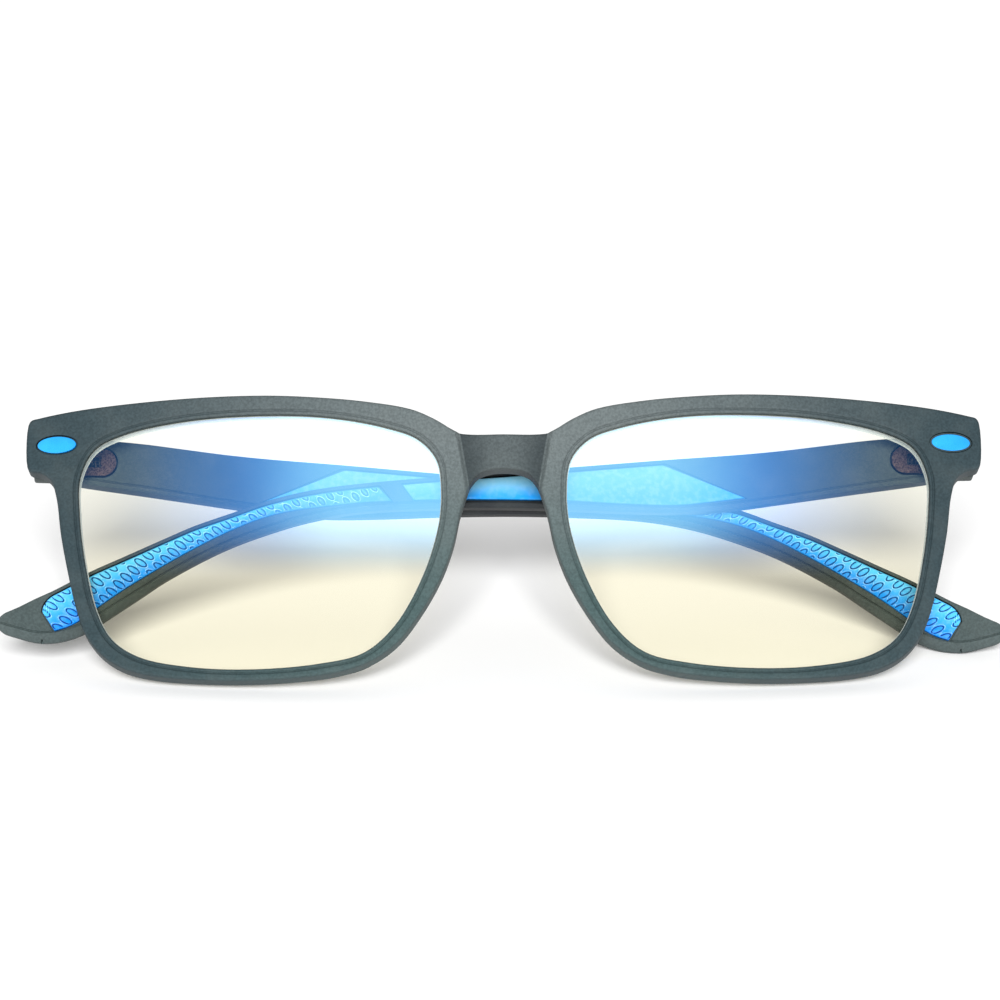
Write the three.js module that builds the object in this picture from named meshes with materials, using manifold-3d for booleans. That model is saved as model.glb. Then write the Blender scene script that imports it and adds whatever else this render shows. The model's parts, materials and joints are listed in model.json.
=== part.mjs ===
// Blue light glasses: a small moulded frame with two-colour temples on spring hinges.
//
// Sizes are millimetres. The pieces are laid out in the frame's own axes: x across the front
// (the wearer's left is +x), y from the front's face back towards the wearer, and z up along the
// front. The last lines lean that layout back into the attitude in which the folded glasses lie
// on a table, so the exported group has +z straight up and its origin on the bridge's front face.

import * as THREE from 'three';
import { mergeVertices } from 'three/addons/utils/BufferGeometryUtils.js';
import Module from 'manifold-3d';

const wasm = await Module();
wasm.setup();

// ---------------------------------------------------------------- driving dimensions

const GAP = 0.3; // air left between neighbouring pieces

const FRONT_DEPTH = 3.9; // front to back thickness of the front moulding
const FRONT_EDGE = 0.45; // rounding of the front moulding's edges
const WRAP_FLAT = 5; // half width of the flat middle of the front
const WRAP_RADIUS = 337; // radius to which each side of the front curves back
const BRIDGE_RECESS = 0.35; // how far the bridge's face lies behind the rims' face

const LENS_MID = 1.9; // depth of the lens groove behind the front's face
const LENS_THICKNESS = 1.7;
const LENS_BEVEL = 0.6; // how far the lens edge's ridge stands into the groove
const LENS_DOME = 0.9; // how far the lens's middle stands forward of its edge

const INLAY = { x: 59.0, z: 13.85, halfWidth: 2.6, halfHeight: 1.12, thick: 0.5 };

const PIN = { x: 59.7, y: 11.4, z: 13.2 }; // hinge axis, parallel to z
const BUTT = 2.9; // temple's square end, ahead of the pin
const SEAT_Y = PIN.y - BUTT - GAP; // flat back of the end piece that the temple closes on

const TEMPLE_LENGTH = 126.2; // from the pin to the temple's tip
const TEMPLE_OUTER = 2.9; // outer face, measured out from the pin
const TEMPLE_INNER_AT_HINGE = -0.6;
const TEMPLE_INNER = 0.2; // inner face beyond the thick hinge end
const TIP_THINNING = 0.4; // how much the outer face falls in towards the tip
const PANEL_THICK = 0.8; // blue panel and grip, let into the inner face

const LEFT_FOLD = 0.6; // degrees by which the folded left temple stays short of square
const RIGHT_FOLD = 4.1; // the right one lies over the left, so it stays further out
const REST_TILT = 58; // degrees between the front and the table when folded and laid down

// ---------------------------------------------------------------- outlines (x, z)

// Outer edge of the front, from the top of the bridge round the +x side to the bridge's arch.
const OUTER_EDGE = [
  [0, 14.15], [4.2, 14.15], [6.2, 14.5], [9.1, 16.2], [12.2, 17.55], [18.6, 18.7], [25, 19.35],
  [31.2, 19.7], [40, 19.65], [50, 19.08], [57, 18.38], [61.45, 17.63], [62.5, 17.35], [62.9, 16.6],
  [62.9, 11.05], [62.5, 10.45], [61.1, 10.1], [59.7, 9.05], [58.9, 6.7], [58.2, 1.65],
  [57.2, -3.35], [56, -8.25], [54.6, -12], [52.3, -14.85], [49.4, -16.65], [45.5, -17.7],
  [40, -18.3], [33.5, -18.55], [27, -18.3], [21.7, -17.65], [17.4, -16.25], [13.9, -13.8],
  [10.8, -9.75], [8.2, -5.1], [6.6, -0.7], [5.7, 3.45], [4.8, 6.4], [4.3, 7.6], [3.3, 8.75],
  [1.7, 9.35], [0, 9.5],
];

// Opening of the +x rim, closed.
const APERTURE = [
  [8.15, 6.2], [8.75, 10.7], [11.2, 13.55], [15.5, 15.2], [23, 16.65], [32, 17.1], [42, 16.6],
  [50.2, 15], [54, 13.05], [55.8, 9.35], [55.8, 4.4], [54.9, -2.35], [53.4, -8.45],
  [51.2, -12.6], [47.6, -15.05], [41, -16.55], [33, -17.05], [24, -16.45], [18.2, -15.05],
  [14.2, -11.5], [10.6, -5], [8.55, 1.65],
];

// Face of the bridge between the two rims: half widths at its top and at its arch.
const BRIDGE_FACE = { top: 5.8, bottom: 4.7 };

// Heights of the temple's upper and lower edges against the distance s behind the pin.
const TEMPLE_TOP = [
  [-2.9, 16.35], [7.4, 16.2], [17, 15.3], [27.5, 14.3], [38, 13.55], [51, 12.5], [68, 11.15],
  [78, 10.2], [85, 9.2], [91, 7.7], [96, 5.85], [100.6, 4.15], [104, 2.6], [110, -0.25],
  [114.5, -2.4], [119, -5], [121.4, -6.3], [123.7, -7.7], [126.2, -9],
];
const TEMPLE_BOTTOM = [
  [-2.9, 10.95], [0.5, 10.85], [3.7, 10.3], [7.4, 9.8], [12, 9.2], [18.6, 8.3], [24, 7.55],
  [28, 7], [33, 6.5], [38, 6.35], [44, 6.5], [51, 6.8], [60, 7], [68, 6.9], [78, 6.4],
  [85, 5.2], [91, 3.35], [97, 0.9], [104, -3], [108, -5.8], [112, -8.6], [114.3, -10.15], [116.3, -11.15],
  [118.7, -11.85], [121.1, -12], [123.4, -11.55], [126.2, -10.9],
];

// Lower edge of the blue panel and grip. Their upper edge keeps a border under the temple's top.
const BLUE_LOW = [
  [24, 8.75], [32, 7.75], [37, 7.3], [44, 7.5], [51, 7.9], [60, 8.05], [68, 8], [78, 7.55],
  [85, 6.75], [88.7, 6.15], [92.3, 5.1], [95.8, 3.6], [99.4, 1.75], [103.4, -0.55],
  [107.5, -3.1], [110, -4.75], [113, -6.95], [115, -8.55], [117, -9.75], [120, -10.8],
];
const UPPER_BORDER = 0.7;
const PANEL = { upper: [38.5, 73.2], lower: [27.6, 71.7] };
const GRIP = { upper: [76.4, 120.4], lower: [74.6, 118.8] };

// ---------------------------------------------------------------- small helpers

const radians = THREE.MathUtils.degToRad;
const { lerp, clamp, smoothstep } = THREE.MathUtils;

function wrap(x) {
  return Math.max(0, Math.abs(x) - WRAP_FLAT) ** 2 / (2 * WRAP_RADIUS);
}

// Points of a smooth closed curve through [x, z] corners.
function smoothLoop(corners, perCorner) {
  const knots = corners.map(([x, z]) => new THREE.Vector3(x, z, 0));
  const curve = new THREE.CatmullRomCurve3(knots, true, 'centripetal');
  const count = corners.length * perCorner;
  return Array.from({ length: count }, (_, i) => {
    const p = curve.getPoint(i / count);
    return new THREE.Vector2(p.x, p.y);
  });
}

// The same loop moved outwards by d, or inwards where d is negative.
function offsetLoop(points, d) {
  const turn = THREE.ShapeUtils.isClockWise(points) ? 1 : -1;
  return points.map((p, i) => {
    const before = points.at(i - 1);
    const after = points[(i + 1) % points.length];
    const along = after.clone().sub(before).normalize();
    return new THREE.Vector2(p.x - turn * along.y * d, p.y + turn * along.x * d);
  });
}

// A smooth function through [s, value] knots: cubic Hermite with averaged slopes.
function profile(knots) {
  const slope = (i) => {
    const a = knots[Math.max(i - 1, 0)];
    const b = knots[Math.min(i + 1, knots.length - 1)];
    return (b[1] - a[1]) / (b[0] - a[0]);
  };
  return (s) => {
    let i = knots.findIndex((k) => k[0] > s) - 1;
    i = i < -1 ? knots.length - 2 : Math.max(i, 0);
    const [s0, v0] = knots[i];
    const [s1, v1] = knots[i + 1];
    const h = s1 - s0;
    const t = (s - s0) / h;
    return v0 * (1 + 2 * t) * (1 - t) ** 2 + slope(i) * h * t * (1 - t) ** 2
      + v1 * t * t * (3 - 2 * t) + slope(i + 1) * h * t * t * (t - 1);
  };
}

// Closed solid through rings of the same number of points, capped at both ends.
function loft(rings) {
  const n = rings[0].length;
  const positions = [];
  const index = [];
  rings.forEach((ring) => ring.forEach((p) => positions.push(p.x, p.y, p.z)));
  for (let r = 0; r + 1 < rings.length; r += 1) {
    for (let i = 0; i < n; i += 1) {
      const a = r * n + i;
      const b = r * n + ((i + 1) % n);
      index.push(a, b, b + n, a, b + n, a + n);
    }
  }
  [0, rings.length - 1].forEach((r) => {
    const middle = new THREE.Vector3();
    rings[r].forEach((p) => middle.addScaledVector(p, 1 / n));
    positions.push(middle.x, middle.y, middle.z);
    const centre = positions.length / 3 - 1;
    for (let i = 0; i < n; i += 1) {
      const a = r * n + i;
      const b = r * n + ((i + 1) % n);
      index.push(...(r === 0 ? [centre, b, a] : [centre, a, b]));
    }
  });
  const geometry = new THREE.BufferGeometry();
  geometry.setAttribute('position', new THREE.Float32BufferAttribute(positions, 3));
  geometry.setIndex(index);
  return outward(geometry);
}

// Turns every face over when the closed mesh's signed volume says that it faces inwards.
function outward(geometry) {
  const p = geometry.attributes.position;
  const [a, b, c] = [new THREE.Vector3(), new THREE.Vector3(), new THREE.Vector3()];
  let volume = 0;
  for (let i = 0; i < geometry.index.count; i += 3) {
    a.fromBufferAttribute(p, geometry.index.getX(i));
    b.fromBufferAttribute(p, geometry.index.getX(i + 1));
    c.fromBufferAttribute(p, geometry.index.getX(i + 2));
    volume += a.dot(b.cross(c));
  }
  if (volume < 0) geometry.index.array.reverse();
  return geometry;
}

function solidOf(geometry) {
  const bare = geometry.clone();
  bare.deleteAttribute('normal');
  bare.deleteAttribute('uv');
  const merged = mergeVertices(bare, 1e-4);
  return new wasm.Manifold(new wasm.Mesh({
    numProp: 3,
    vertProperties: new Float32Array(merged.attributes.position.array),
    triVerts: new Uint32Array(merged.index.array),
  }));
}

function geometryOf(solid) {
  const mesh = solid.getMesh();
  const geometry = new THREE.BufferGeometry();
  geometry.setAttribute('position', new THREE.BufferAttribute(mesh.vertProperties, 3));
  geometry.setIndex(new THREE.BufferAttribute(mesh.triVerts, 1));
  return geometry;
}

// base with the added solids joined on, and then the removed solids cut away.
function combine(base, added, removed = []) {
  let solid = solidOf(base);
  added.forEach((g) => { solid = solid.add(solidOf(g)); });
  removed.forEach((g) => { solid = solid.subtract(solidOf(g)); });
  return geometryOf(solid);
}

// A flat outline (u, v) given thickness from low to high along the third axis.
function slab(points, low, high, holes = [], edge = 0) {
  const clockwise = THREE.ShapeUtils.isClockWise(points);
  const shape = new THREE.Shape(clockwise ? points.toReversed() : points);
  shape.holes = holes.map((hole) => new THREE.Path(hole));
  return new THREE.ExtrudeGeometry(shape, {
    depth: high - low - 2 * edge,
    bevelEnabled: edge > 0,
    bevelThickness: edge,
    bevelSize: edge,
    bevelOffset: -edge,
    bevelSegments: 1,
  }).translate(0, 0, low + edge);
}

function box(x, y, z) {
  const size = [x, y, z].map(([low, high]) => high - low);
  const middle = [x, y, z].map(([low, high]) => (low + high) / 2);
  return new THREE.BoxGeometry(...size).translate(...middle);
}

// Cylinder along z at (x, y) from one height to another.
function post(x, y, radius, low, high, segments = 24) {
  return new THREE.CylinderGeometry(radius, radius, high - low, segments)
    .rotateX(Math.PI / 2).translate(x, y, (low + high) / 2);
}

// Cylinder along y at (x, z) from one distance to another.
function rod(x, z, radius, low, high, segments = 20) {
  return new THREE.CylinderGeometry(radius, radius, high - low, segments)
    .translate(x, (low + high) / 2, z);
}

function ellipse(halfWidth, halfHeight, segments) {
  return Array.from({ length: segments }, (_, i) => {
    const angle = (2 * Math.PI * i) / segments;
    return new THREE.Vector2(halfWidth * Math.cos(angle), halfHeight * Math.sin(angle));
  });
}

// Stands an (x, z) slab up: its outline stays in x and z, and its thickness runs along y.
function upright(geometry, back) {
  return geometry.rotateX(Math.PI / 2).translate(0, back, 0);
}

function curved(geometry) {
  const p = geometry.attributes.position;
  for (let i = 0; i < p.count; i += 1) p.setY(i, p.getY(i) + wrap(p.getX(i)));
  return geometry;
}

// side is +1 for the wearer's left and -1 for the wearer's right.
function onSide(geometry, side) {
  if (side > 0) return geometry;
  const flipped = geometry.index ? geometry.clone() : mergeVertices(geometry);
  flipped.applyMatrix4(new THREE.Matrix4().makeScale(-1, 1, 1));
  flipped.index.array.reverse();
  return flipped;
}

// ---------------------------------------------------------------- materials

function finish(color, roughness, metalness, more = {}) {
  return new THREE.MeshStandardMaterial({ color, roughness, metalness, ...more });
}

const DARK_PLASTIC = finish(0x3a4a4c, 0.6, 0);
const BLUE_PLASTIC = finish(0x2f9fe8, 0.4, 0);
const BLUE_RUBBER = finish(0x2a9be6, 0.55, 0);
const LENS = finish(0xf7f3dc, 0.05, 0, { transparent: true, opacity: 0.35 });
const METAL = finish(0x8f8b88, 0.35, 0.9);
const DARK_METAL = finish(0x55555c, 0.4, 0.9);

// ---------------------------------------------------------------- front and lenses

const aperture = smoothLoop(APERTURE, 2);

function mirrored(points) {
  return points.map((p) => new THREE.Vector2(-p.x, p.y)).reverse();
}

// V-shaped disc that follows the aperture: ridge and shoulder are offsets from its edge.
function vDisc(ridge, shoulder, halfThickness) {
  const at = (d, y) => offsetLoop(aperture, d).map((p) => new THREE.Vector3(p.x, y, p.y));
  return [
    at(shoulder, LENS_MID - halfThickness),
    at(ridge, LENS_MID),
    at(shoulder, LENS_MID + halfThickness),
  ];
}

function grooveCutter() {
  return curved(loft(vDisc(LENS_BEVEL + GAP, -GAP, LENS_THICKNESS / 2 + GAP)));
}

function lensGeometry() {
  const [frontEdge, ridge, backEdge] = vDisc(LENS_BEVEL, -GAP, LENS_THICKNESS / 2);
  const centre = new THREE.Box2().setFromPoints(aperture).getCenter(new THREE.Vector2());
  const inner = (ring, share) => ring.map((p) => new THREE.Vector3(
    lerp(centre.x, p.x, share),
    p.y - LENS_DOME * (1 - share * share),
    lerp(centre.y, p.z, share),
  ));
  const shares = [0.3, 0.7];
  return curved(loft([
    ...shares.map((share) => inner(frontEdge, share)),
    frontEdge,
    ridge,
    backEdge,
    ...shares.map((share) => inner(backEdge, share)).reverse(),
  ]));
}

function nosePad() {
  return new THREE.SphereGeometry(1, 18, 12).scale(1.1, 3.5, 4.7)
    .rotateZ(radians(-5)).rotateY(radians(-20)).translate(8.6, 4.7, -1.9);
}

// Recess on the bridge's face. It is open at the front, top and bottom.
function bridgeCutter() {
  const { top, bottom } = BRIDGE_FACE;
  const slope = (top - bottom) / 5;
  const outline = [[top + slope, 15], [bottom - slope, 8], [slope - bottom, 8], [-top - slope, 15]];
  const points = outline.map(([x, z]) => new THREE.Vector2(x, z));
  return upright(slab(points, 0, 2), BRIDGE_RECESS);
}

// Everything that is cut out of one end piece: hinge seat, hinge leaf pocket and inlay pocket.
function endPieceCutters() {
  return [
    box([56.6, 64], [SEAT_Y, 12], [9, 18]),
    box([PIN.x - 2.4 - GAP, PIN.x + 1.5 + GAP], [SEAT_Y - 0.9, 12], [PIN.z - 2.4, PIN.z + 2.4]),
    inlaySolid(GAP, 0.8, 1),
  ];
}

// The oval inlay, or with a margin the pocket for it. Depths are below and above the surface.
function inlaySolid(margin, below, above) {
  const outline = ellipse(INLAY.halfWidth + margin, INLAY.halfHeight + margin, 32);
  const tilt = Math.atan((INLAY.x - WRAP_FLAT) / WRAP_RADIUS);
  return upright(slab(outline, -below, above), 0).rotateZ(tilt)
    .translate(INLAY.x, wrap(INLAY.x), INLAY.z);
}

function frontGeometry() {
  const half = OUTER_EDGE.map(([x, z]) => [x, z]);
  const other = OUTER_EDGE.slice(1, -1).reverse().map(([x, z]) => [-x, z]);
  const outer = smoothLoop([...half, ...other], 2);
  const blank = slab(outer, 0, FRONT_DEPTH, [aperture, mirrored(aperture)], FRONT_EDGE);
  const moulding = curved(upright(blank, FRONT_DEPTH));
  const perSide = (make) => [make(), onSide(make(), -1)];
  const added = perSide(nosePad);
  const removed = [bridgeCutter(), ...perSide(grooveCutter)];
  [1, -1].forEach((side) => endPieceCutters().forEach((g) => removed.push(onSide(g, side))));
  return combine(moulding, added, removed);
}

// ---------------------------------------------------------------- hinge
// Hinge and temple pieces are drawn open, with the pin at the origin: x is outwards from the
// pin, y is the distance s behind it and z is up.

const KNUCKLE = { radius: 1.3, bore: 0.72, half: 0.7 };
const EAR = { low: 0.85, high: 1.65 };
const CHANNEL_X = 0.5; // middle of the spring housing's channel
const HOUSING = { inner: -0.75, outer: 1.75, half: 1.85, start: 1.9, end: 8 };
const SHOULDER = [2.9, 3.3]; // wall across the channel, which the spring pushes on
const CAP = [6.15, 6.65];

function hingeLeaf() {
  const plateBack = SEAT_Y - PIN.y;
  const plate = box([-2.4, 1.5], [plateBack - 0.6, plateBack + 0.15], [-2.1, 2.1]);
  const ears = [[-EAR.high, -EAR.low], [EAR.low, EAR.high]].flatMap((z) => [
    box([-KNUCKLE.radius, KNUCKLE.radius], [plateBack, 0], z),
    post(0, 0, KNUCKLE.radius, ...z),
  ]);
  return combine(plate, ears, [post(0, 0, KNUCKLE.bore, -3, 3)]);
}

function hingeScrew() {
  const shaft = post(0, 0, 0.6, -1.9, 1.9, 20);
  const head = post(0, 0, 1.0, 1.75, 2.15);
  return combine(shaft, [head], [box([-2, 2], [-0.14, 0.14], [1.95, 3])]);
}

function hingeSlider() {
  const neck = box([CHANNEL_X - 0.65, CHANNEL_X + 0.65], [0.8, 2.7], [-0.7, 0.7]);
  const knuckle = post(0, 0, KNUCKLE.radius, -KNUCKLE.half, KNUCKLE.half);
  const shaft = rod(CHANNEL_X, 0, 0.32, 2.4, 6.8);
  return combine(knuckle, [neck, shaft], [post(0, 0, KNUCKLE.bore, -3, 3)]);
}

function springCap() {
  return combine(rod(CHANNEL_X, 0, 0.7, ...CAP), [], [rod(CHANNEL_X, 0, 0.42, 5, 8)]);
}

class Helix extends THREE.Curve {
  getPoint(t, target = new THREE.Vector3()) {
    const angle = 2 * Math.PI * 5 * t;
    const y = lerp(SHOULDER[1] + 0.14, CAP[0] - 0.14, t);
    return target.set(CHANNEL_X + 0.6 * Math.cos(angle), y, 0.6 * Math.sin(angle));
  }
}

function hingeSpring() {
  const wire = new THREE.Shape(ellipse(0.11, 0.11, 5));
  return new THREE.ExtrudeGeometry(wire, { extrudePath: new Helix(), steps: 55 });
}

// Outline of the spring housing in (s, z): square at the hinge and round at the other end.
function housingSolid(margin, inner, outer) {
  const half = HOUSING.half + margin;
  const centre = HOUSING.end - HOUSING.half;
  const arc = Array.from({ length: 13 }, (_, i) => {
    const angle = -Math.PI / 2 + (Math.PI * i) / 12;
    return new THREE.Vector2(centre + half * Math.cos(angle), half * Math.sin(angle));
  });
  const start = HOUSING.start - margin;
  const outline = [new THREE.Vector2(start, -half), ...arc, new THREE.Vector2(start, half)];
  const turned = new THREE.Matrix4().set(0, 0, 1, 0, 1, 0, 0, 0, 0, 1, 0, 0, 0, 0, 0, 1);
  return slab(outline, inner, outer).applyMatrix4(turned);
}

function springHousing() {
  const channelX = [CHANNEL_X - 0.85, CHANNEL_X + 0.85];
  return combine(housingSolid(0, HOUSING.inner, HOUSING.outer), [], [
    box(channelX, [0, SHOULDER[0]], [-0.95, 0.95]),
    box(channelX, [SHOULDER[1], 7], [-0.95, 0.95]),
    rod(CHANNEL_X, 0, 0.55, 2, 4),
    box([-2, CHANNEL_X], [3.9, 6], [-0.75, 0.75]),
  ]);
}

// ---------------------------------------------------------------- temple

const topEdge = profile(TEMPLE_TOP);
const bottomEdge = profile(TEMPLE_BOTTOM);
const blueLow = profile(BLUE_LOW);

// Bow of the temple towards the head, with a little more at the tip.
function bow(s) {
  return 0.00042 * Math.max(0, s - 15) ** 2 + 0.016 * Math.max(0, s - 114) ** 2;
}

function outerFace(s) {
  return TEMPLE_OUTER - TIP_THINNING * smoothstep(s, 70, 125);
}

function innerFace(s) {
  return lerp(TEMPLE_INNER_AT_HINGE, TEMPLE_INNER, smoothstep(s, 12, 24));
}

// A point of the temple: s behind the pin, w out from the pin's plane, z at the front's scale.
function templePoint(s, w, z) {
  return new THREE.Vector3(w - bow(s), s, z - PIN.z);
}

// Cross-section of the temple at s, a rectangle with rounded corners.
function templeRing(s) {
  const roundEnd = 124.8;
  const share = clamp((s - roundEnd) / (TEMPLE_LENGTH - roundEnd), 0, 1);
  const full = Math.sqrt(1 - share * share * 0.97);
  const middle = (topEdge(s) + bottomEdge(s)) / 2;
  const halfHeight = ((topEdge(s) - bottomEdge(s)) / 2) * full;
  const centre = (innerFace(s) + outerFace(s)) / 2;
  const halfWidth = ((outerFace(s) - innerFace(s)) / 2) * lerp(0.55, 1, full);
  const corners = [[1, 1, 0.8], [-1, 1, 0.35], [-1, -1, 0.5], [1, -1, 0.8]];
  return corners.flatMap(([sideW, sideZ, radius]) => {
    const r = Math.min(radius, halfHeight * 0.9);
    const start = Math.atan2(sideZ, sideW) - Math.PI / 4;
    return [0, 1, 2].map((step) => {
      const angle = start + (step * Math.PI) / 4;
      const w = centre + sideW * (halfWidth - r) + r * Math.cos(angle);
      const z = middle + sideZ * (halfHeight - r) + r * Math.sin(angle);
      return templePoint(s, w, z);
    });
  });
}

// A strip let into the inner face, or with a margin the pocket for it.
function strip(ends, margin, face, depth) {
  const steps = 14;
  return loft(Array.from({ length: steps + 1 }, (_, i) => {
    const at = ([start, end], lead) => lerp(start - lead * margin, end + 2 * margin, i / steps);
    const upper = at(ends.upper, 2);
    const lower = at(ends.lower, 6); // the pocket's sharp lower corner needs the longer lead
    const zUpper = topEdge(upper) - UPPER_BORDER + margin;
    const zLower = blueLow(lower) - margin;
    return [
      templePoint(upper, innerFace(upper) + face, zUpper),
      templePoint(upper, innerFace(upper) + depth, zUpper),
      templePoint(lower, innerFace(lower) + depth, zLower),
      templePoint(lower, innerFace(lower) + face, zLower),
    ];
  }));
}

function templeShell() {
  const stations = [
    -BUTT, 0, 4, 8, 12, 15, 18, 21, 24, 27, 30, 33, 37, 41, 46, 51, 56, 62, 68, 74, 78, 82, 86,
    90, 94, 98, 103, 108, 112, 115, 118, 121, 123, 124.8, 125.5, 125.95, TEMPLE_LENGTH,
  ];
  return combine(loft(stations.map(templeRing)), [], [
    box([-4, KNUCKLE.radius + GAP], [-4, HOUSING.start], [-1.95, 2.45]),
    housingSolid(0.25, -4, HOUSING.outer + 0.25),
    strip(PANEL, 0.25, -2, PANEL_THICK + GAP),
    strip(GRIP, 0.25, -2, PANEL_THICK + GAP),
  ]);
}

// ---------------------------------------------------------------- assembly

function piece(name, geometry, material) {
  const mesh = new THREE.Mesh(geometry, material);
  mesh.name = name;
  return mesh;
}

function fixedHinge(name, side) {
  const group = new THREE.Group();
  group.position.set(side * PIN.x, PIN.y, PIN.z);
  group.add(
    piece(`${name}_hinge_leaf`, onSide(hingeLeaf(), side), METAL),
    piece(`${name}_hinge_screw`, onSide(hingeScrew(), side), METAL),
  );
  return group;
}

function foldedTemple(name, side, foldShort) {
  const group = new THREE.Group();
  group.position.set(side * PIN.x, PIN.y, PIN.z);
  group.rotation.z = side * radians(90 - foldShort);
  const add = (part, geometry, material) => {
    group.add(piece(`${name}_${part}`, onSide(geometry, side), material));
  };
  add('hinge_slider', hingeSlider(), DARK_METAL);
  add('spring_cap', springCap(), METAL);
  add('hinge_spring', hingeSpring(), METAL);
  add('spring_housing', springHousing(), METAL);
  add('temple', templeShell(), DARK_PLASTIC);
  add('temple_panel', strip(PANEL, 0, 0, PANEL_THICK), BLUE_PLASTIC);
  add('temple_grip', strip(GRIP, 0, -0.1, PANEL_THICK), BLUE_RUBBER);
  return group;
}

const layout = new THREE.Group();
layout.add(piece('front_frame', frontGeometry(), DARK_PLASTIC));
[['left', 1, LEFT_FOLD], ['right', -1, RIGHT_FOLD]].forEach(([name, side, foldShort]) => {
  layout.add(piece(`${name}_lens`, onSide(lensGeometry(), side), LENS));
  const inlay = inlaySolid(0, INLAY.thick, 0.05);
  layout.add(piece(`${name}_front_inlay`, onSide(inlay, side), BLUE_PLASTIC));
  layout.add(fixedHinge(name, side), foldedTemple(name, side, foldShort));
});

// The origin goes to the middle of the bridge's face, and the front leans back to its rest tilt.
const BRIDGE_MIDDLE_Z = (OUTER_EDGE[0][1] + OUTER_EDGE.at(-1)[1]) / 2;
layout.position.set(0, -BRIDGE_RECESS, -BRIDGE_MIDDLE_Z);
const glasses = new THREE.Group();
const leaning = new THREE.Group();
leaning.rotation.x = radians(REST_TILT - 90);
leaning.add(layout);
glasses.add(leaning);

export default glasses;
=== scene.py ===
import json
import math

import bmesh
import bpy
import numpy as np
from mathutils import Matrix, Vector
from mathutils.geometry import delaunay_2d_cdt


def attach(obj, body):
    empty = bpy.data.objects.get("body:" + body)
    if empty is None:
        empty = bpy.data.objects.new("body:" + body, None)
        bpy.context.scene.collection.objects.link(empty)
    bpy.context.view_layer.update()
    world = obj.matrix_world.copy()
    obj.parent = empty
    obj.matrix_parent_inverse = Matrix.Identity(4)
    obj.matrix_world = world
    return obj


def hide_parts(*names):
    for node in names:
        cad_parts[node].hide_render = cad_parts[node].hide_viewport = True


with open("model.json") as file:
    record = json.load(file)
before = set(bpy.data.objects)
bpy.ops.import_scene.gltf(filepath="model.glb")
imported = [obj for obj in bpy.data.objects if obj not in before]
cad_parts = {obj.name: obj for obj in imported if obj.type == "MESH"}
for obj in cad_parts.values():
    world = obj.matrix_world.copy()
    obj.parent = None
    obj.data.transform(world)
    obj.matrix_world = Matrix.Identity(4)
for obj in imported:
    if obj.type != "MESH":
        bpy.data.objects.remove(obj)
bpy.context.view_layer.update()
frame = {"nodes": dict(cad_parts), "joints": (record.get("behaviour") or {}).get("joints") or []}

# ---------------------------------------------------------------- the front's own axes
# Lengths are millimetres in the front's axes: x across, y back from its face, z up along it.

MM = 0.001
JOINTS = {joint["name"]: joint for joint in frame["joints"]}
UP = Vector(JOINTS["left_temple_hinge"]["axis"]).normalized()
if UP.z < 0:
    UP = -UP
ACROSS = Vector((1, 0, 0))
BACK = UP.cross(ACROSS)
PIN = Vector((59.7, 11.4, 13.2))
LEFT_PIN = Vector(JOINTS["left_temple_hinge"]["pos_m"])
ORIGIN = LEFT_PIN - MM * (PIN.x * ACROSS + PIN.y * BACK + PIN.z * UP)
SIDES = {"left": 1, "right": -1}

FRONT_DEPTH = 3.9
FRONT_EDGE = 0.45
WRAP_FLAT = 5
WRAP_RADIUS = 337
OUTER_EDGE = [
    (0, 14.15), (4.2, 14.15), (6.2, 14.5), (9.1, 16.2), (12.2, 17.55), (18.6, 18.7), (25, 19.35),
    (31.2, 19.7), (40, 19.65), (50, 19.08), (57, 18.38), (61.45, 17.63), (62.5, 17.35),
    (62.9, 16.6), (62.9, 11.05), (62.5, 10.45), (61.1, 10.1), (59.7, 9.05), (58.9, 6.7),
    (58.2, 1.65), (57.2, -3.35), (56, -8.25), (54.6, -12), (52.3, -14.85), (49.4, -16.65),
    (45.5, -17.7), (40, -18.3), (33.5, -18.55), (27, -18.3), (21.7, -17.65), (17.4, -16.25),
    (13.9, -13.8), (10.8, -9.75), (8.2, -5.1), (6.6, -0.7), (5.7, 3.45), (4.8, 6.4), (4.3, 7.6),
    (3.3, 8.75), (1.7, 9.35), (0, 9.5),
]
APERTURE = [
    (8.15, 6.2), (8.75, 10.7), (11.2, 13.55), (15.5, 15.2), (23, 16.65), (32, 17.1), (42, 16.6),
    (50.2, 15), (54, 13.05), (55.8, 9.35), (55.8, 4.4), (54.9, -2.35), (53.4, -8.45),
    (51.2, -12.6), (47.6, -15.05), (41, -16.55), (33, -17.05), (24, -16.45), (18.2, -15.05),
    (14.2, -11.5), (10.6, -5), (8.55, 1.65),
]
LENS_MID = 1.9
LENS_HALF = 0.85
LENS_DOME = 0.9
GROOVE_DEPTH = 0.9
BACK_LIP = 0.8
INLAY_X, INLAY_Z = 59.0, 13.85
INLAY_WIDTH, INLAY_HEIGHT = 2.6, 1.12
SEAT_Y = 8.2

TEMPLE_LENGTH = 126.2
TEMPLE_START = -2.9
TEMPLE_OUTER = 2.9
ROUND_END = 124.8
TEMPLE_TOP = [
    (-2.9, 16.35), (7.4, 16.2), (17, 15.3), (27.5, 14.3), (38, 13.55), (51, 12.5), (68, 11.15),
    (78, 10.2), (85, 9.2), (91, 7.7), (96, 5.85), (100.6, 4.15), (104, 2.6), (110, -0.25),
    (114.5, -2.4), (119, -5), (121.4, -6.3), (123.7, -7.7), (126.2, -9.0),
]
TEMPLE_BOTTOM = [
    (-2.9, 10.95), (0.5, 10.85), (3.7, 10.3), (7.4, 9.8), (12, 9.2), (18.6, 8.3), (24, 7.55), (28, 7),
    (33, 6.5), (38, 6.35), (44, 6.5), (51, 6.8), (60, 7), (68, 6.9), (78, 6.4), (85, 5.2),
    (91, 3.35), (97, 0.9), (104, -3), (108, -5.8), (112, -8.6), (114.3, -10.15), (116.3, -11.15),
    (118.7, -11.85), (121.1, -12), (123.4, -11.55), (126.2, -10.9),
]
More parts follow.
